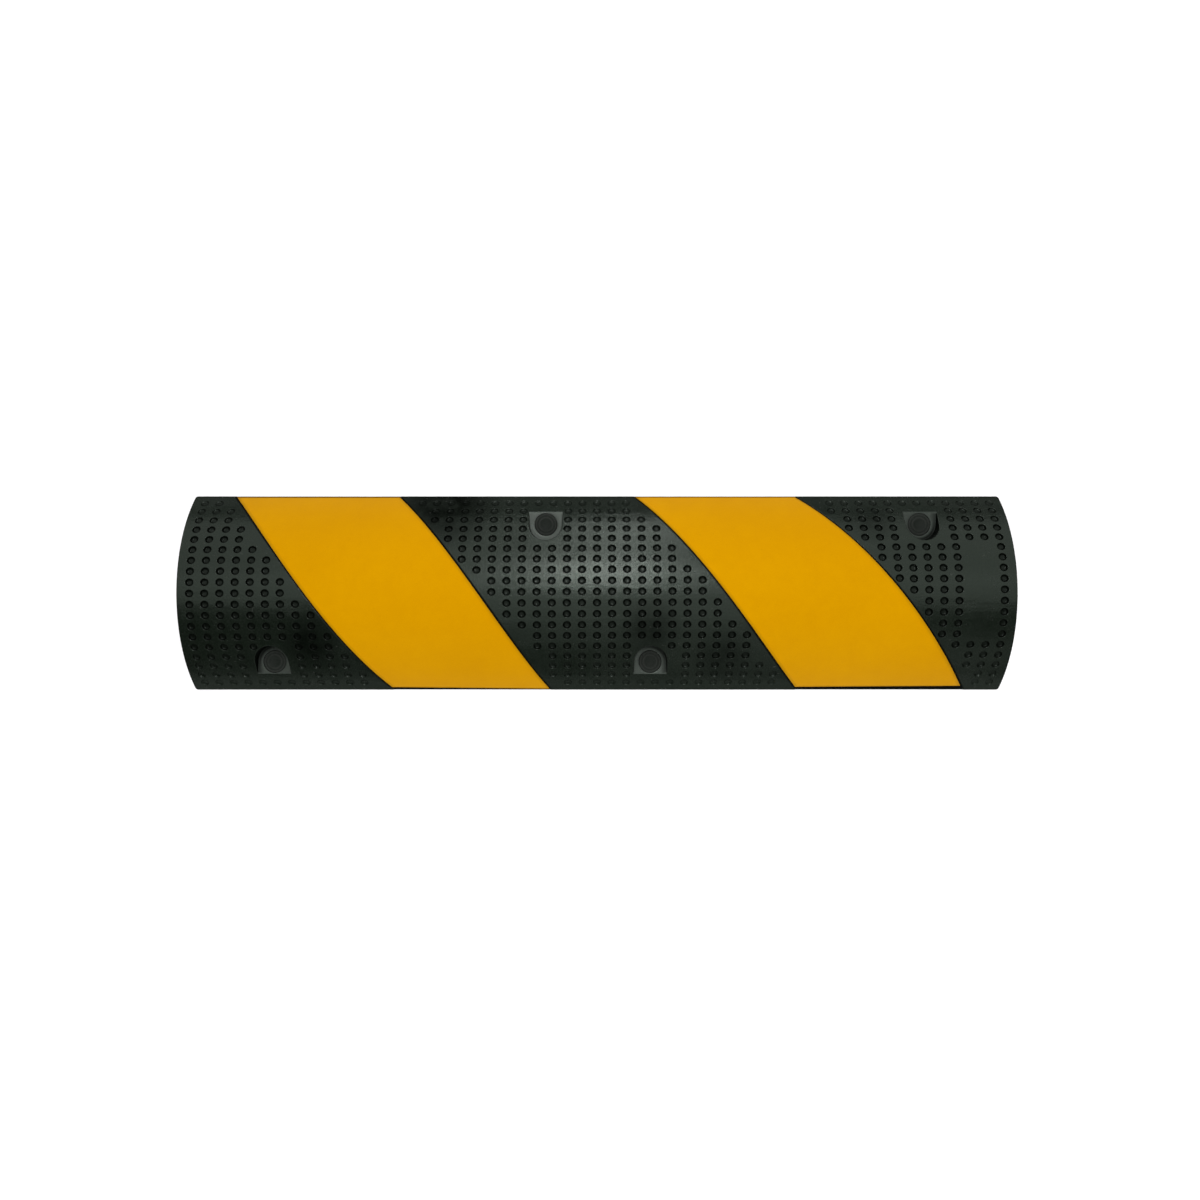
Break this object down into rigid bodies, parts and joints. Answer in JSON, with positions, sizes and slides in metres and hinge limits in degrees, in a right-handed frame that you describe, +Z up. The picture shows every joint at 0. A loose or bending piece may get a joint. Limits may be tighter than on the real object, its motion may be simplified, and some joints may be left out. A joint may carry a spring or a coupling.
{
  "type": "rubber speed bump",
  "caption": "Low arched rubber speed bump with diagonal reflective stripes, anti-slip grid and bolt-down fixing pockets with push-in plugs.",
  "frame": {"origin": "centre of the flat base, on the road surface", "axes": "+X along the length of the bump, +Y across it towards the rear long edge, +Z up from the road"},
  "size_m": [1, 0.241, 0.05],
  "materials": {
    "body_rubber": "black moulded rubber, satin",
    "reflective_film": "amber yellow reflective film",
    "washer_steel": "zinc plated steel",
    "plug_rubber": "matte black rubber"
  },
  "bodies": {
    "bump": {"rubber_body": "body_rubber", "reflective_stripe_left": "reflective_film", "reflective_stripe_right": "reflective_film", "steel_washer_rear_mid": "washer_steel", "steel_washer_rear_right": "washer_steel", "steel_washer_front_left": "washer_steel", "steel_washer_front_mid": "washer_steel"},
    "plug_rear_mid": {"bolt_plug_rear_mid": "plug_rubber"},
    "plug_rear_right": {"bolt_plug_rear_right": "plug_rubber"},
    "plug_front_left": {"bolt_plug_front_left": "plug_rubber"},
    "plug_front_mid": {"bolt_plug_front_mid": "plug_rubber"}
  },
  "joints": [
    {"name": "plug_rear_mid_lift", "type": "slide", "parent": "bump", "child": "plug_rear_mid", "axis": [0, 0, 1], "range_m": [0, 0.03]},
    {"name": "plug_rear_right_lift", "type": "slide", "parent": "bump", "child": "plug_rear_right", "axis": [0, 0, 1], "range_m": [0, 0.03]},
    {"name": "plug_front_left_lift", "type": "slide", "parent": "bump", "child": "plug_front_left", "axis": [0, 0, 1], "range_m": [0, 0.03]},
    {"name": "plug_front_mid_lift", "type": "slide", "parent": "bump", "child": "plug_front_mid", "axis": [0, 0, 1], "range_m": [0, 0.03]}
  ]
}
